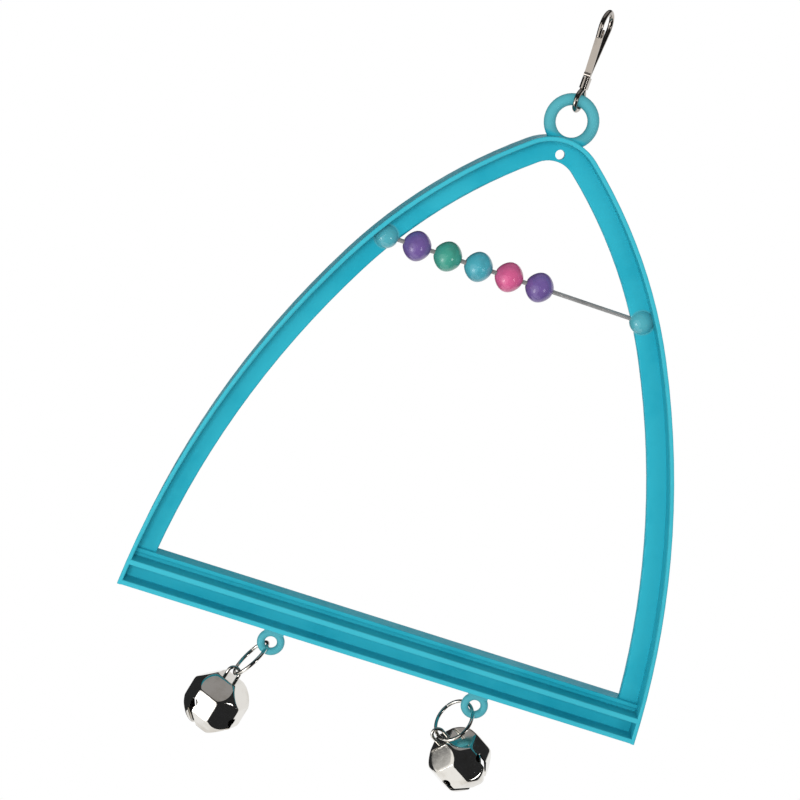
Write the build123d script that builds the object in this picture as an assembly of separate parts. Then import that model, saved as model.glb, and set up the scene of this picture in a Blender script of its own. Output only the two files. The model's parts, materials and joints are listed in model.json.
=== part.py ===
from build123d import *
import math
import os

# Arch: a flat web inside an outer flange, drawn as tangent arcs from foot to point
foot_half_width = 63.1        # leg's inner edge, level with the top of the perch
arch_height = 125.3           # top of the perch to the inside of the point
apex_radius = 7.0             # inside of the point
foot_lean = 6.5               # degrees from upright, at the foot of a leg
shoulder_width_share = 0.575  # where the lower leg arc meets the upper one
shoulder_height_share = 0.682
web_width = 4.9
web_thickness = 2.0
web_edge_round = 0.5
flange_thickness = 1.1
flange_depth = 12.0
flange_edge_round = 0.35
web_hole_radius = 1.2         # small hole in the web, under the ring
web_hole_drop = 0.6           # its centre below the middle of the web

# Perch: an upright web with a narrow top rim, and a rib and a bottom rim as deep as the flange
perch_height = 9.4
perch_web_thickness = 2.4
perch_rib_thickness = 1.4
perch_rib_height = 6.4        # middle of the rib above the underside
top_rim_thickness = 1.1
top_rim_depth = 4.8
bottom_rim_thickness = 1.3
perch_edge_round = 0.3

# Hanging ring on the point of the arch
ring_hole_radius = 3.85
ring_section_radius = 1.45
ring_rise = 4.2               # ring's centre above the outside of the point

# Bell eyelets under the perch
eyelet_spacing = 56.0
eyelet_hole_radius = 1.6
eyelet_section_radius = 1.0
eyelet_neck_width = 5.2
eyelet_drop = 5.0             # hole's centre below the perch

# Bead wire, its bosses and the beads
wire_radius = 0.55
wire_height_share = 0.758     # wire's height in the arch, from the top of the perch
wire_fit = 0.02
boss_radius = 3.1
bead_radius = 3.8
bead_hole_radius = 0.9
bead_mouth_round = 0.25
bead_gap = 0.4
bead_lead_gap = 0.38          # first bead to the left leg

# Jump rings between the eyelets and the bells
link_outer_radius = 6.2
link_wire_radius = 0.475
link_slit = 0.15
link_clearance = 0.15

# Jingle bells: a faceted ball with cross slots, hung by a wire staple
bell_flat_radius = 7.75       # middle of the bell to a flat facet
bell_corner_radius = 8.4      # middle of the bell to a corner
bell_wall = 0.5
bell_slot_width = 1.5
bell_slot_end_radius = 1.2
bell_slot_top = 0.8           # slot ends below the middle of the bell
loop_inner_radius = 1.1
loop_wire_radius = 0.45
loop_leg = 1.4                # loop's centre to the top of the shell
loop_foot = 1.6               # length of a foot bent out inside the shell
loop_fit = 0.02
pellet_radius = 1.9
pellet_gap = 0.3

# Hook: bent wire with a closed eye, a crimped neck and a sprung tongue
hook_wire_radius = 0.6
hook_turn = 25.0              # degrees that the hook's plane is turned from square to the frame
eye_clearance = 0.25
strand_gap = 0.1
neck_bend_radius = 0.75
sleeve_length = 2.8
sleeve_wall = 0.3
sleeve_fit = 0.02
shank_lead = 0.4              # straight wire above the sleeve
shank_bend_radius = 6.0
crown_inner_radius = 2.8
crown_height = 18.3           # eye's centre to the crown's centre
nose_length = 2.0
leaf_thickness = 0.4
leaf_width = 1.7
leaf_overlap = 1.3            # leaf's reach past the tip of the nose
leaf_clearance = 0.1
knuckle_radius = 0.55

# Angles at which the rings and bells hang, in degrees towards the left, and the right ring's twist
link_lean = {"left": 31.0, "right": 33.0}
link_twist = {"left": 0.0, "right": 24.0}
bell_lean = {"left": 12.0, "right": -58.0}

bead_names = ("bead_1_purple", "bead_2_green", "bead_3_turquoise", "bead_4_pink", "bead_5_purple")
sides = {"left": -1, "right": 1}
overrun = 3.0                 # how far cutting bodies run past what they cut


def sin_deg(angle):
    return math.sin(math.radians(angle))


def cos_deg(angle):
    return math.cos(math.radians(angle))


def arch_arcs():
    """Lower, upper and apex arcs of the right-hand inner line, each as (centre x, centre z, radius, end lean).

    The lower arc leaves the foot at its lean and passes through the shoulder. The upper arc carries on from
    there and runs into the apex arc, which is centred on the middle of the frame.
    """
    rise = arch_height * shoulder_height_share
    shoulder_x = foot_half_width * shoulder_width_share
    run = foot_half_width - shoulder_x
    chord_lean = math.degrees(math.atan2(run, rise))
    shoulder_lean = 2 * chord_lean - foot_lean
    lower = math.hypot(run, rise) / (2 * sin_deg(chord_lean - foot_lean))
    lower_x = foot_half_width - lower * cos_deg(foot_lean)
    lower_z = perch_height - lower * sin_deg(foot_lean)

    apex_z = perch_height + arch_height - apex_radius
    climb = arch_height - rise - apex_radius
    reach = shoulder_x * cos_deg(shoulder_lean) - climb * sin_deg(shoulder_lean) - apex_radius
    upper = (shoulder_x ** 2 + climb ** 2 - apex_radius ** 2) / (2 * reach)
    upper_x = shoulder_x - upper * cos_deg(shoulder_lean)
    upper_z = perch_height + rise - upper * sin_deg(shoulder_lean)
    apex_lean = math.degrees(math.atan2(apex_z - upper_z, -upper_x))
    return (
        (lower_x, lower_z, lower, shoulder_lean),
        (upper_x, upper_z, upper, apex_lean),
        (0, apex_z, apex_radius, 180 - apex_lean),
    )


def arch_outline(offset):
    """Face inside the arch's inner line moved outwards by offset, down to the underside of the perch."""
    lower, upper, apex = arch_arcs()
    base = math.degrees(math.asin(-lower[1] / (lower[2] + offset)))
    right = []
    start = base
    for centre_x, centre_z, radius, end in (lower, upper):
        right.append(CenterArc((centre_x, centre_z), radius + offset, start, end - start))
        start = end
    top = CenterArc((apex[0], apex[1]), apex[2] + offset, start, apex[3] - start)
    left = [mirror(arc, about=Plane.YZ) for arc in right]
    half = lower[0] + (lower[2] + offset) * cos_deg(base)
    return make_face([*right, top, *left, Line((-half, 0), (half, 0))])


def leg_arc(height, offset):
    """The leg's arc at a height, on the inner line moved outwards by offset."""
    lower, upper, _ = arch_arcs()
    shoulder_z = lower[1] + (lower[2] + offset) * sin_deg(lower[3])
    return upper if height > shoulder_z else lower


def leg_middle(height):
    """Distance from the middle of the frame to the middle of a leg's web at a height."""
    middle = web_width / 2
    centre_x, centre_z, radius, _ = leg_arc(height, middle)
    return centre_x + math.sqrt((radius + middle) ** 2 - (height - centre_z) ** 2)


def slab(face, thickness):
    """Face drawn in X and Z, given a thickness centred on the frame's plane."""
    return extrude(Plane.XZ * face, amount=thickness / 2, both=True)


def front_and_back_edges(solid):
    faces = solid.faces().filter_by(Axis.Y)
    return ShapeList([edge for face in faces for edge in face.edges()])


# Heights, measured from the underside of the perch
arch_top = perch_height + arch_height + web_width + flange_thickness
ring_radius = ring_hole_radius + ring_section_radius
ring_z = arch_top + ring_rise
eye_z = ring_z + ring_radius
seat_z = eye_z + crown_height + crown_inner_radius
eyelet_x = eyelet_spacing / 2
web_hole_z = perch_height + arch_height + web_width / 2 - web_hole_drop
wire_height = perch_height + arch_height * wire_height_share
boss_x = leg_middle(wire_height)


def perch_bar():
    """Bar with the perch's section, trimmed to end inside the flanges."""
    web = Pos(0, perch_height / 2) * Rectangle(perch_web_thickness, perch_height)
    rib = Pos(0, perch_rib_height) * Rectangle(flange_depth, perch_rib_thickness)
    low_rim = Pos(0, bottom_rim_thickness / 2) * Rectangle(flange_depth, bottom_rim_thickness)
    high_rim = Pos(0, perch_height - top_rim_thickness / 2) * Rectangle(top_rim_depth, top_rim_thickness)
    section = web + rib + low_rim + high_rim
    section = fillet(section.vertices(), perch_edge_round)
    half_length = foot_half_width + web_width + flange_thickness
    bar = extrude(Plane.YZ * section, amount=half_length, both=True)
    return bar & slab(arch_outline(web_width + flange_thickness / 2), flange_depth)


def eyelet(x):
    """Moulded ring that hangs from the perch's underside by a short neck."""
    major = eyelet_hole_radius + eyelet_section_radius
    ring = Rot(90, 0, 0) * Torus(major, eyelet_section_radius)
    neck_height = eyelet_drop + bottom_rim_thickness / 2 - major
    neck = Pos(0, 0, major + neck_height / 2) * Box(eyelet_neck_width, 2 * eyelet_section_radius, neck_height)
    return Pos(x, 0, -eyelet_drop) * (ring + neck)


def swing_frame():
    outer = web_width + flange_thickness
    web = slab(arch_outline(web_width + flange_thickness / 2) - arch_outline(0), web_thickness)
    inner_edges = [e for e in front_and_back_edges(web) if e.geom_type == GeomType.CIRCLE]
    lower, upper, apex = arch_arcs()
    inner_radii = (lower[2], upper[2], apex[2])
    inner_edges = [e for e in inner_edges if min(abs(e.radius - r) for r in inner_radii) < web_edge_round]
    web = fillet(inner_edges, web_edge_round)

    flange = slab(arch_outline(outer) - arch_outline(web_width), flange_depth)
    flange_arcs = [e for e in front_and_back_edges(flange) if e.geom_type == GeomType.CIRCLE]
    flange = fillet(flange_arcs, flange_edge_round)

    ring = Pos(0, 0, ring_z) * Rot(90, 0, 0) * Torus(ring_radius, ring_section_radius)
    body = web + flange + perch_bar() + ring
    body += [eyelet(side * eyelet_x) for side in sides.values()]
    body += [Pos(side * boss_x, 0, wire_height) * Sphere(boss_radius) for side in sides.values()]

    body -= Pos(0, 0, web_hole_z) * Rot(90, 0, 0) * Cylinder(web_hole_radius, web_thickness + overrun)
    body -= Rot(0, 90, 0) * Pos(-wire_height, 0) * Cylinder(wire_radius + wire_fit, 2 * boss_x)
    return body


def bead_wire():
    return Pos(0, 0, wire_height) * Rot(0, 90, 0) * Cylinder(wire_radius, 2 * boss_x)


def bead_stop(gap):
    """Farthest that a bead's middle goes from the middle of the frame, clear of leg and boss by a gap."""
    centre_x, centre_z, radius, _ = leg_arc(wire_height, 0)
    leg_stop = centre_x + math.sqrt((radius - bead_radius - gap) ** 2 - (wire_height - centre_z) ** 2)
    return min(leg_stop, boss_x - boss_radius - bead_radius - gap)


def bead(index):
    """Round bead on the wire, counted from the left boss."""
    solid = Sphere(bead_radius) - Cylinder(bead_hole_radius, 2 * bead_radius + overrun)
    mouths = solid.edges().filter_by(GeomType.CIRCLE)
    mouths = [e for e in mouths if abs(e.radius - bead_hole_radius) < bead_mouth_round]
    solid = fillet(mouths, bead_mouth_round)
    x = index * (2 * bead_radius + bead_gap) - bead_stop(bead_lead_gap)
    return Pos(x, 0, wire_height) * Rot(0, 90, 0) * solid


# Rings and bells hang from pivots: each one's pivot is its local origin, with its weight along -Z
link_radius = link_outer_radius - link_wire_radius
link_rest = eyelet_hole_radius - link_wire_radius - link_clearance
bell_hang = loop_inner_radius - link_wire_radius - link_clearance
bell_middle = bell_hang + loop_leg + bell_flat_radius


def link_place(side):
    return Pos(sides[side] * eyelet_x, 0, -eyelet_drop) * Rot(0, link_lean[side], 0)


def bell_place(side):
    """Bell's pivot at the far side of its ring, turned to the bell's own lean."""
    down = link_rest + 2 * link_radius
    x = sides[side] * eyelet_x - down * sin_deg(link_lean[side])
    z = -eyelet_drop - down * cos_deg(link_lean[side])
    return Pos(x, 0, z) * Rot(0, bell_lean[side], 0)


def link_ring(side):
    """Jump ring with a fine slit at its side, standing square to the eyelet but for its twist."""
    ring = Torus(link_radius, link_wire_radius)
    reach = 2 * link_wire_radius + overrun
    ring -= Pos(0, link_radius) * Box(link_slit, reach, reach)
    ring = Pos(0, 0, -link_rest - link_radius) * Rot(0, 90, 0) * ring
    return link_place(side) * Rot(0, 0, link_twist[side]) * ring


def faceted_ball(corner_radius, flat_radius):
    """Ball with eighteen flat facets: a block, and its copies turned an eighth of a turn about each axis."""
    block = Box(2 * flat_radius, 2 * flat_radius, 2 * flat_radius)
    gem = block
    for turn in (Rot(45, 0, 0), Rot(0, 45, 0), Rot(0, 0, 45)):
        gem = gem & (turn * block)
    return gem & Sphere(corner_radius)


def bell_slots():
    """Two crossed slots up from the bell's bottom, with a round hole at each end."""
    length = 2 * (bell_corner_radius + overrun)
    depth = bell_corner_radius + overrun
    slot = Pos(0, 0, -bell_slot_top - depth / 2) * Box(bell_slot_width, length, depth)
    slot += Pos(0, 0, -bell_slot_top) * Rot(90, 0, 0) * Cylinder(bell_slot_end_radius, length)
    return Rot(0, 0, 45) * slot + Rot(0, 0, -45) * slot


def bell_shell(side):
    ball = faceted_ball(bell_corner_radius, bell_flat_radius)
    ball -= faceted_ball(bell_corner_radius - bell_wall, bell_flat_radius - bell_wall)
    ball -= bell_slots()
    leg_x = loop_inner_radius + loop_wire_radius
    leg_hole = Cylinder(loop_wire_radius + loop_fit, bell_wall + overrun)
    ball -= [Pos(sign * leg_x, 0, bell_flat_radius) * leg_hole for sign in sides.values()]
    return bell_place(side) * Pos(0, 0, -bell_middle) * ball


def bell_loop(side):
    """Staple: an arch of wire whose legs pass through the shell and turn outwards under its top."""
    bend = 2 * loop_wire_radius
    leg_x = loop_inner_radius + loop_wire_radius
    foot_z = -loop_leg - bell_wall - bend
    top = CenterArc((0, 0), leg_x, 0, 180)
    right = [
        Line((leg_x + loop_foot, foot_z), (leg_x + bend, foot_z)),
        CenterArc((leg_x + bend, foot_z + bend), bend, 270, -90),
        Line((leg_x, foot_z + bend), (leg_x, 0)),
    ]
    left = [mirror(piece, about=Plane.YZ).edge() for piece in right]
    path = Plane.XZ * Wire([*right, top, *left])
    staple = sweep(Plane(origin=path @ 0, z_dir=path % 0) * Circle(loop_wire_radius), path=path)
    return bell_place(side) * Pos(0, 0, -bell_hang) * staple


def bell_pellet(side):
    """Loose pellet at the bottom of its shell."""
    drop = bell_flat_radius - bell_wall - pellet_gap - pellet_radius
    return bell_place(side) * Pos(0, 0, -bell_middle - drop) * Sphere(pellet_radius)


# Hook: drawn in its own plane, with the eye's centre at the origin, the shank on the +x side and +y upwards
hook_plane = Plane(
    origin=(0, 0, eye_z),
    x_dir=(sin_deg(hook_turn), cos_deg(hook_turn), 0),
    z_dir=(cos_deg(hook_turn), -sin_deg(hook_turn), 0),
)
strand_x = hook_wire_radius + strand_gap / 2
eye_radius = ring_section_radius / cos_deg(hook_turn) + eye_clearance + hook_wire_radius
neck_z = math.sqrt((neck_bend_radius + eye_radius) ** 2 - (neck_bend_radius + strand_x) ** 2)
sleeve_top = neck_z + sleeve_length
crown_radius = crown_inner_radius + hook_wire_radius


def shank_lean():
    """Lean of the straight shank, tangent to the bend above the sleeve and to the crown."""
    across = strand_x + shank_bend_radius
    up = crown_height - sleeve_top - shank_lead
    turn = math.acos((crown_radius + shank_bend_radius) / math.hypot(across, up))
    return math.degrees(math.atan2(up, across) - turn)


def nose_tip():
    lean = shank_lean()
    x = nose_length * sin_deg(lean) - crown_radius * cos_deg(lean)
    z = crown_height - crown_radius * sin_deg(lean) - nose_length * cos_deg(lean)
    return x, z


def hook_wire():
    """One wire: tail in the sleeve, round the eye, up the shank, over the crown and down to the nose."""
    lean = shank_lean()
    open_angle = math.degrees(math.atan2(neck_z, neck_bend_radius + strand_x))
    bend_x = neck_bend_radius + strand_x
    bend_top = sleeve_top + shank_lead
    shank_x = strand_x + shank_bend_radius
    shank_bend = CenterArc((shank_x, bend_top), shank_bend_radius, 180, -lean)
    crown = CenterArc((0, crown_height), crown_radius, -lean, 180 + 2 * lean)
    path = hook_plane * Wire([
        Line((-strand_x, sleeve_top), (-strand_x, neck_z)),
        CenterArc((-bend_x, neck_z), neck_bend_radius, 0, -open_angle),
        CenterArc((0, 0), eye_radius, 180 - open_angle, 180 + 2 * open_angle),
        CenterArc((bend_x, neck_z), neck_bend_radius, 180 + open_angle, -open_angle),
        Line((strand_x, neck_z), (strand_x, bend_top)),
        shank_bend,
        Line(shank_bend @ 1, crown @ 0),
        crown,
        Line(crown @ 1, nose_tip()),
    ])
    wire = sweep(Plane(origin=path @ 0, z_dir=path % 0) * Circle(hook_wire_radius), path=path)
    return wire + Pos(path @ 1) * Sphere(hook_wire_radius)


def crimp_sleeve():
    """Flattened tube round the two strands of the neck."""
    bore = 2 * (hook_wire_radius + sleeve_fit)
    section = SlotCenterToCenter(2 * strand_x, bore + 2 * sleeve_wall) - SlotCenterToCenter(2 * strand_x, bore)
    tube = extrude(section, amount=sleeve_length)
    return Pos(0, 0, eye_z + neck_z) * Rot(0, 0, 90 - hook_turn) * tube


def gate_leaf():
    """Tongue from a knuckle on the sleeve to the inner side of the nose."""
    lean = shank_lean()
    knuckle = Vector(-strand_x, sleeve_top + knuckle_radius + leaf_clearance)
    tip_x, tip_z = nose_tip()
    aside = hook_wire_radius + leaf_clearance + leaf_thickness / 2
    tip = Vector(tip_x + aside * cos_deg(lean), tip_z + aside * sin_deg(lean))
    length = (tip - knuckle).length + leaf_overlap
    rise = math.degrees(math.atan2(tip.Y - knuckle.Y, tip.X - knuckle.X))
    strip = Rot(0, 0, rise) * Pos(length / 2, 0) * SlotCenterToCenter(length, leaf_thickness)
    face = Pos(knuckle.X, knuckle.Y) * (strip + Circle(knuckle_radius))
    return extrude(hook_plane * face, amount=leaf_width / 2, both=True)


def all_pieces():
    """Every node's name with its solid, measured from the underside of the perch."""
    pieces = {"swing_frame": swing_frame(), "bead_wire": bead_wire()}
    for index, name in enumerate(bead_names):
        pieces[name] = bead(index)
    for side in sides:
        pieces["link_ring_" + side] = link_ring(side)
        pieces["bell_shell_" + side] = bell_shell(side)
        pieces["bell_loop_" + side] = bell_loop(side)
        pieces["bell_pellet_" + side] = bell_pellet(side)
    pieces["hook_wire"] = hook_wire()
    pieces["crimp_sleeve"] = crimp_sleeve()
    pieces["gate_leaf"] = gate_leaf()
    return pieces


# The origin is the hook's seat, where the swing hangs from its bar
os.makedirs("parts", exist_ok=True)
for node, solid in all_pieces().items():
    export_step(Pos(0, 0, -seat_z) * solid, "parts/" + node + ".step")
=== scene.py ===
"""Bird swing: finishes, beads, bells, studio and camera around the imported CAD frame.

The file is laid out as an add-on and runs as a script. Lengths are in metres, in the CAD model's
frame: the origin is the hook's seat, X runs along the perch, -Y faces the viewer and Z is up.
"""

import json
import math

import bmesh
import bpy
import numpy as np
from bpy.props import FloatProperty, FloatVectorProperty, PointerProperty
from mathutils import Matrix, Vector


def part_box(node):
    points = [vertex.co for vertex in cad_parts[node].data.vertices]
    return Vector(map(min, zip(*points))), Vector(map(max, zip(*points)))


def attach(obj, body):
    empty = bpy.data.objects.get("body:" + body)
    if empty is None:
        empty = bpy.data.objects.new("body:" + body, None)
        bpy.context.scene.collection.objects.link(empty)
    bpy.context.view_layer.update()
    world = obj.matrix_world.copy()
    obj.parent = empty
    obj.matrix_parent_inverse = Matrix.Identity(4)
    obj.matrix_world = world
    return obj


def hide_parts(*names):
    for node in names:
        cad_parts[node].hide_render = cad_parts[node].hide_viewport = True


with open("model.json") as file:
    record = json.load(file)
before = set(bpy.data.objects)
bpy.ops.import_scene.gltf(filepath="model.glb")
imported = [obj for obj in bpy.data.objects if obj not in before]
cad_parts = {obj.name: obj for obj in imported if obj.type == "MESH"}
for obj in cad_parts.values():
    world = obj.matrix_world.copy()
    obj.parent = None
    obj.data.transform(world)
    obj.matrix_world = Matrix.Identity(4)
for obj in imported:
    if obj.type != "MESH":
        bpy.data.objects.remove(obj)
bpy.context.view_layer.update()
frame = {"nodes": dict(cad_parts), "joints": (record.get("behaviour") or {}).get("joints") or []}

bl_info = {
    "name": "Bird Swing",
    "version": (1, 0, 0),
    "blender": (4, 5, 0),
    "location": "3D View > Sidebar > Swing",
    "description": "Finishes, beads, bells and studio of a bird swing",
    "category": "Object",
}

MM = 0.001
WHITE = (1, 1, 1, 1)
JOINTS = {joint["name"]: joint for joint in frame["joints"]}
SIDES = ("left", "right")
BEAD_NODES = ("bead_1_purple", "bead_2_green", "bead_3_turquoise", "bead_4_pink", "bead_5_purple")
# Pitch and yaw of each bead, as shares of the most that a bead leans
BEAD_LEANS = ((-0.7, 0.5), (0.5, -0.6), (-0.3, 0.8), (0.6, 0.5), (0.9, -0.4))

# Counts of points in the meshes
SEARCH_POINTS = 2000
BEAD_SKIN_POINTS = 97
BEAD_LIP_POINTS = 9
BEAD_STEPS = 96
PETALS = 4
PETAL_COLUMNS = 61
CROWN_ROWS = 61
SLOT_END_ROWS = 25
PETAL_ROWS = 49
FLOOR_STEPS = 97
FLOOR_RINGS = 5

MERGE_DISTANCE = 1e-7
CREASE = math.radians(40)

# Underside of the perch and outside of the arch's point, as depths below the hook's seat
PERCH_FOOT = 171.3 * MM
ARCH_POINT = 30.6 * MM

# Spans of noise over which a streak deepens, gloss changes, metal tarnishes and polish wears
STREAK_SPAN = (0.42, 0.68)
GLOSS_SPAN = (0.3, 0.7)
TARNISH_SPAN = (0.45, 0.75)
WEAR_SPAN = (0.15, 0.4)

# A camera counts its sensor in millimetres
SENSOR_WIDTH = 36
NEAR_CLIP = 10 * MM


# Properties


def linear(red, green, blue):
    """Scene-linear colour of a display colour given as 0 to 255."""
    shares = np.array((red, green, blue)) / 255
    bright = ((shares + 0.055) / 1.055) ** 2.4
    return tuple(np.where(shares <= 0.04045, shares / 12.92, bright).tolist())


def length(name, description, millimetres):
    """Length property with a default in millimetres."""
    return FloatProperty(
        name=name, description=description, default=millimetres * MM, unit="LENGTH", precision=5
    )


def angle(name, description, degrees):
    """Angle property with a default in degrees."""
    return FloatProperty(
        name=name, description=description, default=math.radians(degrees), subtype="ANGLE"
    )


def share(name, description, default):
    """Property that is a share of something."""
    return FloatProperty(name=name, description=description, default=default, subtype="FACTOR")


def power(name, description, watts):
    """Property for a lamp's power."""
    return FloatProperty(name=name, description=description, default=watts, unit="POWER")


def colour(name, description, display):
    """Colour property with a default as a display colour."""
    return FloatVectorProperty(
        name=name, description=description, default=linear(*display), min=0, max=1, subtype="COLOR"
    )


def node_middle(node):
    """Middle of a CAD node's box at rest."""
    low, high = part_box(node)
    return (low + high) / 2


def node_size(node):
    """Size of a CAD node's box at rest."""
    low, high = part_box(node)
    return high - low


class SwingColours(bpy.types.PropertyGroup):
    """Colours of the plastics and metals."""

    frame: colour("Frame", "Moulded arch and perch", (44, 168, 187))
    frame_deep: colour("Frame Deep", "Deeper streaks in the frame's plastic", (30, 158, 179))
    # Paler tone painted on the flange's front and back edges as a highlight
    frame_edge_highlight: colour("Frame Edge Highlight", "Thin moulded edges of the frame", (66, 178, 194))
    frame_pale: colour("Frame Pale", "Paler plastic of the ring, eyelets and bosses", (80, 164, 175))
    purple: colour("Purple", "First and last bead", (107, 84, 146))
    green: colour("Green", "Second bead", (63, 149, 131))
    turquoise: colour("Turquoise", "Third bead", (71, 159, 174))
    pink: colour("Pink", "Fourth bead", (204, 90, 137))
    nickel: colour("Nickel", "Bright plating of links, staples and bells", (222, 219, 213))
    tarnish: colour("Tarnish", "Cloudy patches of the plating", (196, 190, 180))
    hook: colour("Hook", "Darker plating of the hook", (176, 168, 160))
    wire: colour("Wire", "Drawn wire under the beads", (172, 170, 169))
    dull_steel: colour("Dull Steel", "Inside of the bells, and their pellets", (98, 96, 94))


class SwingBeads(bpy.types.PropertyGroup):
    """Shape of the beads."""

    radius: FloatProperty(
        name="Radius", description="Bead's middle to its waist", unit="LENGTH", precision=5,
        default=node_size("bead_1_purple").y / 2,
    )
    half_length: FloatProperty(
        name="Half Length", description="Bead's middle to its end", unit="LENGTH", precision=5,
        default=node_size("bead_1_purple").x / 2,
    )
    hole_radius: length("Hole Radius", "Bore along the bead", 0.9)
    lip: length("Lip", "Rounding of the bore's mouths", 0.22)
    pinch: share("Pinch", "How far the ends are drawn in from a ball", 0.16)
    tilt: angle("Tilt", "Most that a loose bead leans on the wire", 4.0)


class SwingBells(bpy.types.PropertyGroup):
    """Shape of the jingle bells."""

    flat: length("Flat", "Bell's middle to a flat facet", 7.5)
    corner: length("Corner", "Bell's middle to a trimmed corner", 8.5)
    wall: length("Wall", "Thickness of the pressed sheet", 0.5)
    hang: length("Hang", "Pivot in the link to the bell's middle", 9.625)
    slot: length("Slot", "Half the width of a slot", 0.75)
    slot_end: length("Slot End", "Radius of the round end of a slot", 1.2)
    slot_top: length("Slot Top", "Middle of a slot's round end below the bell's middle", 0.8)
    facet_turn: angle("Facet Turn", "Facets' turn about the bell's axis, against its staple", 65.0)
    sharpness: FloatProperty(
        name="Sharpness", description="Power that blends the facets", default=120.0, min=4.0
    )


class SwingStudio(bpy.types.PropertyGroup):
    """Camera and lights."""

    azimuth: angle("Azimuth", "Camera's turn round the swing", -5.17)
    elevation: angle("Elevation", "Camera's height above level", 11.47)
    roll: angle("Roll", "Camera's turn about its own view line", 19.26)
    distance: length("Distance", "Camera to the point it looks at", 390.1)
    aim: FloatVectorProperty(
        name="Aim", description="Point that the camera looks at", subtype="TRANSLATION", unit="LENGTH",
        default=(-17.01 * MM, 0.0, -104.85 * MM),
    )
    lens: FloatProperty(name="Lens", description="Focal length of the camera", default=70.04, unit="CAMERA")
    ambient: FloatProperty(name="Ambient", description="Level of the light from all round", default=0.5)
    front_power: power("Front Power", "Soft panel by the camera", 2.2)
    left_power: power("Left Power", "Soft panel on the left", 0.7)
    right_power: power("Right Power", "Soft panel on the right", 0.35)
    panel_size: length("Panel Size", "Side of a soft panel", 220.0)
    panel_distance: length("Panel Distance", "Soft panel to the swing", 600.0)
    floor_drop: length("Floor Drop", "Hook's seat to the floor", 550.0)
    floor_radius: length("Floor Radius", "Middle of the floor to its rim", 300.0)


# Meshes


def grid_faces(rows, columns, closed=False):
    """Corner numbers of the quads of a grid stored row by row.

    A closed grid joins its last row and column to its first.
    """
    row = np.arange(rows if closed else rows - 1)[:, None]
    column = np.arange(columns if closed else columns - 1)[None, :]
    below = (row + 1) % rows * columns
    beside = (column + 1) % columns
    row = row * columns
    corners = (row + column, row + beside, below + beside, below + column)
    return np.stack(np.broadcast_arrays(*corners), axis=-1).reshape(-1, 4)


def mesh_piece(name, points, faces, finishes, face_finish=None):
    """Object at the origin from points and quads.

    Doubles are merged, faces turned outwards, and edges sharper than the crease angle kept sharp.
    """
    mesh = bpy.data.meshes.new(name)
    mesh.from_pydata(points.reshape(-1, 3).tolist(), [], faces.tolist())
    for finish in finishes:
        mesh.materials.append(finish)
    if face_finish is not None:
        mesh.polygons.foreach_set("material_index", face_finish.astype(np.int32))
    cage = bmesh.new()
    cage.from_mesh(mesh)
    bmesh.ops.remove_doubles(cage, verts=cage.verts, dist=MERGE_DISTANCE)
    bmesh.ops.recalc_face_normals(cage, faces=cage.faces)
    cage.to_mesh(mesh)
    cage.free()
    mesh.shade_smooth()
    mesh.set_sharp_from_angle(angle=CREASE)
    piece = bpy.data.objects.new(name, mesh)
    bpy.context.scene.collection.objects.link(piece)
    return piece


def bead_rise(shape, turn):
    """Distance of a bead's skin from its axis, radius * sin a * (1 - pinch * cos^2 a)."""
    return shape.radius * np.sin(turn) * (1 - shape.pinch * np.cos(turn) ** 2)


def bead_outline(shape):
    """Closed outline of a bead as (along, out) points.

    The skin is a ball with its ends drawn in: along = -half length * cos a, and out is the bead's
    rise. A quarter circle rounds each mouth, and the bore joins the two.
    """
    search = np.linspace(0, np.pi / 2, SEARCH_POINTS)
    start = np.interp(shape.hole_radius + shape.lip, bead_rise(shape, search), search)
    turn = np.linspace(start, np.pi - start, BEAD_SKIN_POINTS)
    skin = np.stack((-shape.half_length * np.cos(turn), bead_rise(shape, turn)), axis=-1)
    round_off = np.linspace(0, np.pi / 2, BEAD_LIP_POINTS)
    mouth = np.stack((1 - np.cos(round_off), 1 - np.sin(round_off)), axis=-1) * shape.lip
    left = mouth + (skin[0, 0], shape.hole_radius)
    right = left * (-1, 1)
    return np.concatenate((skin, right[1:], left[:0:-1]))


def bead_points(shape):
    """Bead about the X axis: its outline carried round a circle, (along, out cos t, out sin t)."""
    outline = bead_outline(shape)
    turn = np.linspace(0, 2 * np.pi, BEAD_STEPS, endpoint=False)
    along = np.broadcast_to(outline[None, :, 0], (len(turn), len(outline)))
    out = outline[None, :, 1]
    return np.stack((along, out * np.cos(turn)[:, None], out * np.sin(turn)[:, None]), axis=-1)


def facet_normals(turn):
    """Directions of the eighteen facets, turned about Z.

    They are the six axes and the twelve diagonals between two axes.
    """
    steps = np.array(np.meshgrid(*[(-1, 0, 1)] * 3)).reshape(3, -1).T
    reach = (steps ** 2).sum(1)
    kept = steps[(reach == 1) | (reach == 2)]
    units = kept / np.sqrt((kept ** 2).sum(1))[:, None]
    return units @ np.array(Matrix.Rotation(turn, 3, "Z")).T


def facet_reach(directions, normals, flat, corner, sharpness):
    """Distance from the bell's middle to its skin along unit directions.

    (flat / reach)^p is the sum over the facets of (cosine to the facet)^p, plus (flat / corner)^p
    for the ball that trims the corners, so that a large p gives flat facets with small rounded edges.
    """
    cosines = np.maximum(directions @ normals.T, 0)
    total = (cosines ** sharpness).sum(-1) + (flat / corner) ** sharpness
    return flat * total ** (-1 / sharpness)


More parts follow.
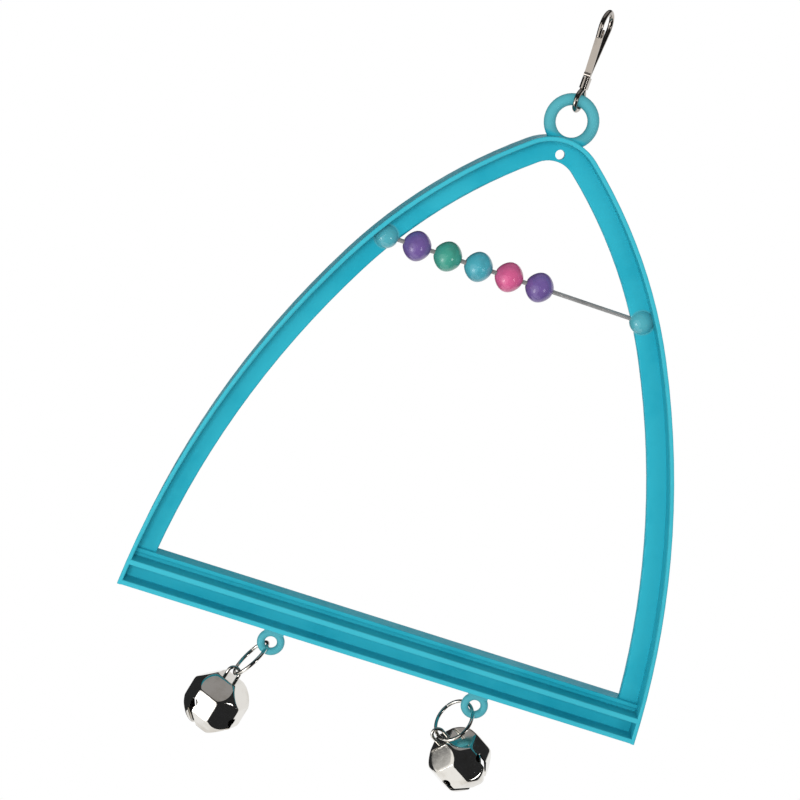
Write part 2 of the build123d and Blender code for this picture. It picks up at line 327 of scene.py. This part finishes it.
def bell_rows(shape):
    """Polar angles of a bell's grid rows, and the angle from a slot's middle to its edge at each.

    Rows run evenly from the top to the slots, follow the round end of a slot as
    z = end radius * cos t - slot top, and run evenly on to the tips of the petals, where the two
    crossed slots meet.
    """
    reach = (shape.flat + shape.corner) / 2
    meet = np.pi - np.arcsin(shape.slot / shape.slot_end)
    round_end = np.linspace(0, meet, SLOT_END_ROWS)
    hole_polar = np.arccos((shape.slot_end * np.cos(round_end) - shape.slot_top) / reach)
    tip_polar = np.pi - np.arcsin(shape.slot * math.sqrt(2) / reach)
    above = np.linspace(0, hole_polar[0], CROWN_ROWS)[:-1]
    below = np.linspace(hole_polar[-1], tip_polar, PETAL_ROWS)[1:]
    polar = np.concatenate((above, hole_polar, below))
    gap = np.concatenate((above * 0, shape.slot_end * np.sin(round_end), below * 0 + shape.slot))
    # The least sine keeps the top row from a division by zero
    least_sine = 1e-6
    # Neighbouring slots meet an eighth of a turn from their middles
    most_opening = math.sqrt(0.5)
    from_axis = reach * np.maximum(np.sin(polar), least_sine)
    opening = np.arcsin(np.minimum(gap / from_axis, most_opening))
    return polar, opening


def bell_points(shape):
    """Outer and inner skins of a bell about its own middle, as arrays of (petal, row, column, xyz).

    A petal spans a quarter turn between two slots, phi = slot + opening + u * (quarter - 2 * opening),
    and the skins are the unit directions (sin t cos phi, sin t sin phi, cos t) times the facets' reach.
    """
    polar, opening = bell_rows(shape)
    polar, opening = polar[None, :, None], opening[None, :, None]
    quarter = np.pi / 2
    across = np.linspace(0, 1, PETAL_COLUMNS)[None, None, :]
    slot = (quarter / 2 + np.arange(PETALS) * quarter)[:, None, None]
    phi = slot + opening + across * (quarter - 2 * opening)
    parts = np.broadcast_arrays(np.sin(polar) * np.cos(phi), np.sin(polar) * np.sin(phi), np.cos(polar))
    directions = np.stack(parts, axis=-1)
    normals = facet_normals(shape.facet_turn)
    skins = []
    for inset in (0, shape.wall):
        flat, corner = shape.flat - inset, shape.corner - inset
        reach = facet_reach(directions, normals, flat, corner, shape.sharpness)
        skins.append(directions * reach[..., None])
    return skins


def bell_faces(shape):
    """Quads of both skins and of the cut edges between them, and which of them are inside."""
    polar, opening = bell_rows(shape)
    rows = len(polar)
    petal = rows * PETAL_COLUMNS
    inward = PETALS * petal
    skin = np.concatenate([grid_faces(rows, PETAL_COLUMNS) + k * petal for k in range(PETALS)])
    inside = skin[:, ::-1] + inward
    first = (np.arange(PETALS) * petal)[:, None, None]
    border = np.array((0, PETAL_COLUMNS - 1))[None, :, None]
    cut = np.flatnonzero(opening[1:] > 0)[None, None, :]
    upper = (first + border + cut * PETAL_COLUMNS).reshape(-1)
    lower = upper + PETAL_COLUMNS
    edges = np.stack((upper, lower, lower + inward, upper + inward), axis=-1)
    finish = np.concatenate((np.zeros(len(skin)), np.ones(len(inside)), np.zeros(len(edges))))
    return np.concatenate((skin, inside, edges)), finish


# Shading


def add_node(tree, kind, inputs=None, **settings):
    """Shader node with its settings; an input is a value, or the socket that feeds it."""
    node = tree.nodes.new("ShaderNode" + kind)
    for key, value in settings.items():
        setattr(node, key, value)
    for key, value in (inputs or {}).items():
        if isinstance(value, bpy.types.NodeSocket):
            tree.links.new(value, node.inputs[key])
        else:
            node.inputs[key].default_value = value
    return node


def remap(tree, value, span, low=0.0, high=1.0, kind="SMOOTHSTEP"):
    """Value taken from low at the start of a span to high at its end."""
    inputs = {"Value": value, "From Min": span[0], "From Max": span[1], "To Min": low, "To Max": high}
    return add_node(tree, "MapRange", inputs, interpolation_type=kind).outputs["Result"]


def math_node(tree, operation, *values):
    """Result of a Math node."""
    return add_node(tree, "Math", dict(enumerate(values)), operation=operation).outputs[0]


def vector_node(tree, operation, output, *values):
    """Result of a Vector Math node."""
    return add_node(tree, "VectorMath", dict(enumerate(values)), operation=operation).outputs[output]


def mix_colour(tree, factor, first, second):
    """Colour between first, at factor 0, and second, at factor 1."""
    mix = add_node(tree, "Mix", {0: factor, 6: first, 7: second}, data_type="RGBA")
    return mix.outputs[2]


def noise(tree, vector, scale, detail=2.0, roughness=0.5):
    """Value of a noise texture."""
    inputs = {"Vector": vector, "Scale": scale, "Detail": detail, "Roughness": roughness}
    return add_node(tree, "TexNoise", inputs).outputs[0]


def opaque(rgb):
    """Colour with full alpha."""
    return (*rgb, 1.0)


def darker(rgb, kept):
    """Colour with a share of its light kept."""
    return tuple(kept * value for value in rgb)


def shader_group(name, inputs, outputs):
    """New shader node group with named sockets: its tree, input node and output node."""
    tree = bpy.data.node_groups.new(name, "ShaderNodeTree")
    for label, kind, default in inputs:
        socket = tree.interface.new_socket(label, in_out="INPUT", socket_type="NodeSocket" + kind)
        socket.default_value = default
    for label, kind in outputs:
        tree.interface.new_socket(label, in_out="OUTPUT", socket_type="NodeSocket" + kind)
    return tree, tree.nodes.new("NodeGroupInput"), tree.nodes.new("NodeGroupOutput")


def moulded_skin():
    """Group for moulded plastic: streaks of a deeper tone, patchy gloss and a fine grain in the mould."""
    name = "Moulded Skin"
    if name in bpy.data.node_groups:
        return bpy.data.node_groups[name]
    tree, given, put = shader_group(
        name,
        [("Colour", "Color", WHITE), ("Deep", "Color", WHITE), ("Streak Scale", "Float", 60.0),
         ("Grain Scale", "Float", 2500.0), ("Gloss Low", "Float", 0.3), ("Gloss High", "Float", 0.4)],
        [("Colour", "Color"), ("Roughness", "Float"), ("Height", "Float")],
    )
    patches_per_streak = 5.0
    peel_share = 0.6
    given = given.outputs
    place = add_node(tree, "TexCoord").outputs["Object"]
    streak = noise(tree, place, given["Streak Scale"], detail=4.0, roughness=0.6)
    grain = noise(tree, place, given["Grain Scale"])
    patch_scale = math_node(tree, "MULTIPLY", given["Streak Scale"], patches_per_streak)
    patch = noise(tree, place, patch_scale, detail=3.0, roughness=0.6)
    tone = mix_colour(tree, remap(tree, streak, STREAK_SPAN), given["Colour"], given["Deep"])
    gloss = remap(tree, patch, GLOSS_SPAN, given["Gloss Low"], given["Gloss High"], kind="LINEAR")
    peel = math_node(tree, "MULTIPLY", patch, peel_share)
    height = math_node(tree, "ADD", peel, grain)
    tree.links.new(tone, put.inputs["Colour"])
    tree.links.new(gloss, put.inputs["Roughness"])
    tree.links.new(height, put.inputs["Height"])
    return tree


def worn_metal():
    """Group for metal: cloudy tarnish, fine marks along the working direction and uneven polish."""
    name = "Worn Metal"
    if name in bpy.data.node_groups:
        return bpy.data.node_groups[name]
    tree, given, put = shader_group(
        name,
        [("Colour", "Color", WHITE), ("Tarnish", "Color", WHITE), ("Cloud Scale", "Float", 300.0),
         ("Mark Scale", "Vector", (4000.0, 4000.0, 4000.0)), ("Polish Low", "Float", 0.05),
         ("Polish High", "Float", 0.15)],
        [("Colour", "Color"), ("Roughness", "Float"), ("Height", "Float")],
    )
    given = given.outputs
    place = add_node(tree, "TexCoord").outputs["Object"]
    cloud = noise(tree, place, given["Cloud Scale"], detail=4.0, roughness=0.6)
    marks = noise(tree, vector_node(tree, "MULTIPLY", 0, place, given["Mark Scale"]), 1.0)
    tone = mix_colour(tree, remap(tree, cloud, TARNISH_SPAN), given["Colour"], given["Tarnish"])
    worn = math_node(tree, "MULTIPLY", cloud, marks)
    polish = remap(tree, worn, WEAR_SPAN, given["Polish Low"], given["Polish High"], kind="LINEAR")
    tree.links.new(tone, put.inputs["Colour"])
    tree.links.new(polish, put.inputs["Roughness"])
    tree.links.new(marks, put.inputs["Height"])
    return tree


def finish_of(name, group, values, relief, constants):
    """Material whose Principled shader takes colour, roughness and bump from a group.

    Returns the material, its tree, the shader, the group's node and the bump node.
    """
    material = bpy.data.materials.new(name)
    material.use_nodes = True
    tree = material.node_tree
    shader = tree.nodes["Principled BSDF"]
    for key, value in constants.items():
        shader.inputs[key].default_value = value
    skin = tree.nodes.new("ShaderNodeGroup")
    skin.node_tree = group
    for key, value in values.items():
        skin.inputs[key].default_value = value
    bump = add_node(tree, "Bump", {"Height": skin.outputs["Height"], "Strength": 1.0, "Distance": relief})
    tree.links.new(skin.outputs["Colour"], shader.inputs["Base Color"])
    tree.links.new(skin.outputs["Roughness"], shader.inputs["Roughness"])
    tree.links.new(bump.outputs["Normal"], shader.inputs["Normal"])
    return material, tree, shader, skin, bump


def frame_plastic(colours):
    """Satin turquoise plastic with a painted highlight, a paler tone, on the flange's front and back edges,
    and paler on the fittings.

    The fittings are told by place: the ring is above the arch, the eyelets are under the perch, and
    a boss, which alone has a glossy coat, is near the wire's end. A parting line runs at mid-depth.
    """
    values = {
        "Colour": opaque(colours.frame), "Deep": opaque(colours.frame_deep), "Streak Scale": 45.0,
        "Grain Scale": 2600.0, "Gloss Low": 0.3, "Gloss High": 0.42,
    }
    constants = {"IOR": 1.49, "Specular IOR Level": 0.18, "Coat Roughness": 0.06}
    relief = 0.007 * MM
    under_perch = (PERCH_FOOT, PERCH_FOOT + MM)
    above_arch = (ARCH_POINT, ARCH_POINT - MM)
    boss_span = (3.6 * MM, 3.0 * MM)
    # Depths from mid-depth over which the painted edge highlight comes in, and the most of it
    edge_highlight_span = (5.0 * MM, 6.0 * MM)
    edge_highlight_share = 0.6
    parting_span = (0.04 * MM, 0.14 * MM)
    parting_height = 3.0
    material, tree, shader, skin, bump = finish_of("satin_frame", moulded_skin(), values, relief, constants)
    # Left and right, and front and back, are read alike
    place = vector_node(tree, "ABSOLUTE", 0, add_node(tree, "TexCoord").outputs["Object"])
    split = add_node(tree, "SeparateXYZ", {0: place}).outputs
    wire_end = Vector((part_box("bead_wire")[1].x, 0, -node_middle("bead_wire").z))
    boss = remap(tree, vector_node(tree, "DISTANCE", "Value", place, wire_end), boss_span)
    eyelet = remap(tree, split["Z"], under_perch)
    ring = remap(tree, split["Z"], above_arch)
    fitting = math_node(tree, "MAXIMUM", math_node(tree, "MAXIMUM", eyelet, ring), boss)
    # Painted highlight: surfaces 5 to 6 mm from mid-depth, the flange's front and back edges, are mixed
    # towards a paler tone
    edge = remap(tree, split["Y"], edge_highlight_span, 0.0, edge_highlight_share)
    tone = mix_colour(tree, edge, skin.outputs["Colour"], opaque(colours.frame_edge_highlight))
    tone = mix_colour(tree, fitting, tone, opaque(colours.frame_pale))
    parting = remap(tree, split["Y"], parting_span, parting_height, 0.0)
    tree.links.new(tone, shader.inputs["Base Color"])
    tree.links.new(boss, shader.inputs["Coat Weight"])
    tree.links.new(math_node(tree, "ADD", skin.outputs["Height"], parting), bump.inputs["Height"])
    return material


def bead_plastic(name, rgb):
    """Glossy bead plastic with a faint swirl of a deeper tone."""
    values = {
        "Colour": opaque(rgb), "Deep": opaque(darker(rgb, kept=0.82)), "Streak Scale": 260.0,
        "Grain Scale": 5000.0, "Gloss Low": 0.2, "Gloss High": 0.3,
    }
    constants = {"IOR": 1.5, "Coat Weight": 0.3, "Coat Roughness": 0.12}
    relief = 0.0025 * MM
    return finish_of(name, moulded_skin(), values, relief, constants)[0]


def metal(name, rgb, tarnish, polish, cloud_scale, mark_scale, relief, metallic=1.0):
    """Metal with tarnish, marks and uneven polish; an oxide film makes it less metallic."""
    values = {
        "Colour": opaque(rgb), "Tarnish": opaque(tarnish), "Cloud Scale": cloud_scale,
        "Mark Scale": mark_scale, "Polish Low": polish[0], "Polish High": polish[1],
    }
    return finish_of(name, worn_metal(), values, relief, {"Metallic": metallic})[0]


def nickel(colours):
    """Bright nickel plating, shared by links, staples and bells."""
    return bpy.data.materials.get("nickel_plating") or metal(
        "nickel_plating", colours.nickel, colours.tarnish, polish=(0.04, 0.12), cloud_scale=160.0,
        mark_scale=(500.0, 500.0, 900.0), relief=0.003 * MM,
    )


def hook_plating(colours):
    """Darker plating of the hook, with marks drawn out along Z."""
    return metal(
        "hook_plating", colours.hook, darker(colours.hook, kept=0.6), polish=(0.08, 0.2),
        cloud_scale=220.0, mark_scale=(900.0, 900.0, 200.0), relief=0.004 * MM,
    )


def drawn_wire(colours):
    """Drawn steel of the bead wire under a film of oxide, with marks along X."""
    return metal(
        "drawn_wire", colours.wire, darker(colours.wire, kept=0.7), polish=(0.45, 0.6),
        cloud_scale=250.0, mark_scale=(150.0, 9000.0, 9000.0), relief=0.008 * MM, metallic=0.55,
    )


def dull_steel(colours):
    """Unplated steel inside the bells, shared by their insides and pellets."""
    return bpy.data.materials.get("dull_steel") or metal(
        "dull_steel", colours.dull_steel, darker(colours.dull_steel, kept=0.5), polish=(0.32, 0.5),
        cloud_scale=500.0, mark_scale=(3000.0, 3000.0, 3000.0), relief=0.01 * MM,
    )


def dress(node, material):
    """Give a CAD node a finish."""
    piece = frame["nodes"][node]
    if not piece.material_slots:
        piece.data.materials.append(material)
    for place in piece.material_slots:
        place.material = material


# Studio


def camera_axes(studio):
    """Right, up and backward directions of the camera."""
    turn, rise, roll = studio.azimuth, studio.elevation, studio.roll
    back = Vector((math.sin(turn) * math.cos(rise), -math.cos(turn) * math.cos(rise), math.sin(rise)))
    level = Vector((math.cos(turn), math.sin(turn), 0))
    upright = back.cross(level)
    right = level * math.cos(roll) + upright * math.sin(roll)
    up = upright * math.cos(roll) - level * math.sin(roll)
    return right, up, back


def place_camera(studio):
    """Camera at the photograph's viewing angle."""
    right, up, back = camera_axes(studio)
    lens = bpy.data.cameras.new("swing_camera")
    lens.sensor_width = SENSOR_WIDTH
    lens.lens = studio.lens
    lens.clip_start = NEAR_CLIP
    camera = bpy.data.objects.new("swing_camera", lens)
    turn = Matrix((right, up, back)).transposed().to_4x4()
    camera.matrix_world = Matrix.Translation(Vector(studio.aim) + back * studio.distance) @ turn
    bpy.context.scene.collection.objects.link(camera)
    bpy.context.scene.camera = camera


def light_world(studio):
    """Soft light from all round, and white to the camera.

    Mirrors see a dark room with a grey ceiling, the white backdrop, a screen and a lamp, each a round
    patch of a colour that starts at one angle from its middle and is full at another, in degrees.
    """
    right, up, back = camera_axes(studio)
    room = (0.025, 0.026, 0.028)
    ceiling = up * 0.95 + right * 0.1 + back * 0.15
    backdrop = right * 0.5 - up * 0.35 - back
    screen = back * 0.55 - right * 0.78 - up * 0.3
    lamp = back * 0.6 + right * 0.66 - up * 0.45
    patches = (
        (ceiling, 40, 36, (0.36, 0.35, 0.35)),
        (backdrop, 50, 44, (1.0, 1.0, 1.0)),
        (screen, 37, 35, (1.1, 1.09, 1.07)),
        (lamp, 7, 6, (7.0, 7.0, 7.0)),
    )
    world = bpy.data.worlds.new("swing_studio")
    world.use_nodes = True
    tree = world.node_tree
    direction = add_node(tree, "TexCoord").outputs["Generated"]
    seen = opaque(room)
    for toward, start, full, rgb in patches:
        cosine = vector_node(tree, "DOT_PRODUCT", "Value", direction, toward.normalized())
        span = (math.cos(math.radians(start)), math.cos(math.radians(full)))
        seen = mix_colour(tree, remap(tree, cosine, span), seen, opaque(rgb))
    path = add_node(tree, "LightPath").outputs
    light = mix_colour(tree, path["Is Glossy Ray"], opaque([studio.ambient] * 3), seen)
    shown = math_node(tree, "MAXIMUM", path["Is Camera Ray"], path["Is Transmission Ray"])
    tree.links.new(mix_colour(tree, shown, light, WHITE), tree.nodes["Background"].inputs["Color"])
    bpy.context.scene.world = world


def place_panels(studio):
    """Soft panels by the camera, on its left and on its right; only the left one shows in gloss."""
    right, up, back = camera_axes(studio)
    panels = (
        ("panel_front", back - right * 0.1, studio.front_power),
        ("panel_left", back * 0.5 - right * 0.8 - up * 0.35, studio.left_power),
        ("panel_right", back * 0.66 + right * 0.62 - up * 0.42, studio.right_power),
    )
    for name, toward, watts in panels:
        toward = toward.normalized()
        lamp = bpy.data.lights.new(name, "AREA")
        lamp.energy = watts
        lamp.size = studio.panel_size
        panel = bpy.data.objects.new(name, lamp)
        turn = toward.to_track_quat("Z", "Y").to_matrix().to_4x4()
        panel.matrix_world = Matrix.Translation(Vector(studio.aim) + toward * studio.panel_distance) @ turn
        panel.visible_camera = False
        panel.visible_glossy = name == "panel_left"
        bpy.context.scene.collection.objects.link(panel)


def floor_finish():
    """Pale floor, matt to most light.

    To the camera, in mirrors and through glass it is a glow with a trace of shade.
    """
    matt_tone = (0.85, 0.85, 0.85)
    trace_tone = (0.3, 0.3, 0.3)
    glow_strength = 0.85
    material = bpy.data.materials.new("pale_floor")
    material.use_nodes = True
    tree = material.node_tree
    tree.nodes.remove(tree.nodes["Principled BSDF"])
    matt = add_node(tree, "BsdfDiffuse", {"Color": opaque(matt_tone)})
    trace = add_node(tree, "BsdfDiffuse", {"Color": opaque(trace_tone)})
    glow = add_node(tree, "Emission", {"Color": WHITE, "Strength": glow_strength})
    white = add_node(tree, "AddShader", {0: trace.outputs[0], 1: glow.outputs[0]})
    path = add_node(tree, "LightPath").outputs
    shown = math_node(tree, "MAXIMUM", path["Is Camera Ray"], path["Is Transmission Ray"])
    shown = math_node(tree, "MAXIMUM", shown, path["Is Glossy Ray"])
    surface = add_node(tree, "MixShader", {0: shown, 1: matt.outputs[0], 2: white.outputs[0]})
    tree.links.new(surface.outputs[0], tree.nodes["Material Output"].inputs["Surface"])
    return material


def lay_floor(studio):
    """Round pale floor under the swing: radius * u * (cos t, sin t), u from 0 to 1."""
    turn = np.linspace(0, 2 * np.pi, FLOOR_STEPS)
    out = np.linspace(0, studio.floor_radius, FLOOR_RINGS)[:, None]
    parts = np.broadcast_arrays(out * np.cos(turn), out * np.sin(turn), -studio.floor_drop)
    points = np.stack(parts, axis=-1)
    mesh_piece("pale_floor", points, grid_faces(*points.shape[:2]), [floor_finish()])


# Operators


class SWING_OT_finish_frame(bpy.types.Operator):
    """Give the moulded frame its plastic"""

    bl_idname = "swing.finish_frame"
    bl_label = "Finish Frame"

    def execute(self, context):
        dress("swing_frame", frame_plastic(context.scene.swing_colours))
        return {"FINISHED"}


class SWING_OT_finish_wire(bpy.types.Operator):
    """Give the bead wire its drawn steel"""

    bl_idname = "swing.finish_wire"
    bl_label = "Finish Bead Wire"

    def execute(self, context):
        dress("bead_wire", drawn_wire(context.scene.swing_colours))
        return {"FINISHED"}


class SWING_OT_build_beads(bpy.types.Operator):
    """Thread the five plastic beads on the wire"""

    bl_idname = "swing.build_beads"
    bl_label = "Build Beads"

    def execute(self, context):
        shape, colours = context.scene.swing_beads, context.scene.swing_colours
        points = bead_points(shape)
        faces = grid_faces(*points.shape[:2], closed=True)
        for count, (node, (pitch, yaw)) in enumerate(zip(BEAD_NODES, BEAD_LEANS), start=1):
            hue = node.rsplit("_", 1)[1]
            gloss = "glossy_" + hue
            finish = bpy.data.materials.get(gloss) or bead_plastic(gloss, getattr(colours, hue))
            lean = Matrix.Rotation(pitch * shape.tilt, 3, "Y") @ Matrix.Rotation(yaw * shape.tilt, 3, "Z")
            placed = points @ np.array(lean).T + np.array(node_middle(node))
            piece = mesh_piece("turned_bead_%d" % count, placed, faces, [finish])
            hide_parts(node)
            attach(piece, "bead_%d" % count)
        return {"FINISHED"}


class SWING_OT_build_bells(bpy.types.Operator):
    """Press the two faceted jingle bells, and finish their staples and pellets"""

    bl_idname = "swing.build_bells"
    bl_label = "Build Bells"

    def execute(self, context):
        shape, colours = context.scene.swing_bells, context.scene.swing_colours
        plating, bare = nickel(colours), dull_steel(colours)
        points = np.stack(bell_points(shape)).reshape(-1, 3)
        faces, finish = bell_faces(shape)
        depth = Vector((0, 1, 0))
        for side in SIDES:
            upright = Vector(JOINTS["pellet_%s_rattle" % side]["axis"]).normalized()
            pivot = Vector(JOINTS["bell_%s_swing" % side]["pos_m"])
            turn = np.array((depth.cross(upright), depth, upright))
            placed = points @ turn + np.array(pivot - upright * shape.hang)
            piece = mesh_piece("pressed_bell_" + side, placed, faces, [plating, bare], finish)
            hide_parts("bell_shell_" + side)
            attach(piece, "bell_" + side)
            dress("bell_loop_" + side, plating)
            dress("bell_pellet_" + side, bare)
        return {"FINISHED"}


class SWING_OT_finish_links(bpy.types.Operator):
    """Give the jump rings their plating"""

    bl_idname = "swing.finish_links"
    bl_label = "Finish Links"

    def execute(self, context):
        for side in SIDES:
            dress("link_ring_" + side, nickel(context.scene.swing_colours))
        return {"FINISHED"}


class SWING_OT_finish_hook(bpy.types.Operator):
    """Give the hook, its sleeve and its gate their plating"""

    bl_idname = "swing.finish_hook"
    bl_label = "Finish Hook"

    def execute(self, context):
        plating = hook_plating(context.scene.swing_colours)
        for node in ("hook_wire", "crimp_sleeve", "gate_leaf"):
            dress(node, plating)
        return {"FINISHED"}


class SWING_OT_build_stage(bpy.types.Operator):
    """Lay the floor and set the camera and the studio light"""

    bl_idname = "swing.build_stage"
    bl_label = "Build Stage"

    def execute(self, context):
        studio = context.scene.swing_studio
        place_camera(studio)
        light_world(studio)
        place_panels(studio)
        lay_floor(studio)
        context.scene.view_settings.view_transform = "Standard"
        return {"FINISHED"}


class SWING_PT_build(bpy.types.Panel):
    """Steps and values of the bird swing"""

    bl_label = "Bird Swing"
    bl_space_type = "VIEW_3D"
    bl_region_type = "UI"
    bl_category = "Swing"

    def draw(self, context):
        for operator in OPERATORS:
            self.layout.operator(operator.bl_idname)
        for name, group in GROUPS.items():
            values = getattr(context.scene, name)
            box = self.layout.box()
            for key in group.__annotations__:
                box.prop(values, key)


GROUPS = {
    "swing_colours": SwingColours,
    "swing_beads": SwingBeads,
    "swing_bells": SwingBells,
    "swing_studio": SwingStudio,
}
OPERATORS = (
    SWING_OT_finish_frame,
    SWING_OT_finish_wire,
    SWING_OT_build_beads,
    SWING_OT_build_bells,
    SWING_OT_finish_links,
    SWING_OT_finish_hook,
    SWING_OT_build_stage,
)


def register():
    for name, group in GROUPS.items():
        bpy.utils.register_class(group)
        setattr(bpy.types.Scene, name, PointerProperty(type=group))
    for kind in (*OPERATORS, SWING_PT_build):
        bpy.utils.register_class(kind)


def unregister():
    for kind in (SWING_PT_build, *reversed(OPERATORS)):
        bpy.utils.unregister_class(kind)
    for name, group in reversed(GROUPS.items()):
        delattr(bpy.types.Scene, name)
        bpy.utils.unregister_class(group)


def main():
    register()
    bpy.ops.swing.finish_frame()
    bpy.ops.swing.finish_wire()
    bpy.ops.swing.build_beads()
    bpy.ops.swing.build_bells()
    bpy.ops.swing.finish_links()
    bpy.ops.swing.finish_hook()
    bpy.ops.swing.build_stage()


if __name__ == "__main__":
    main()
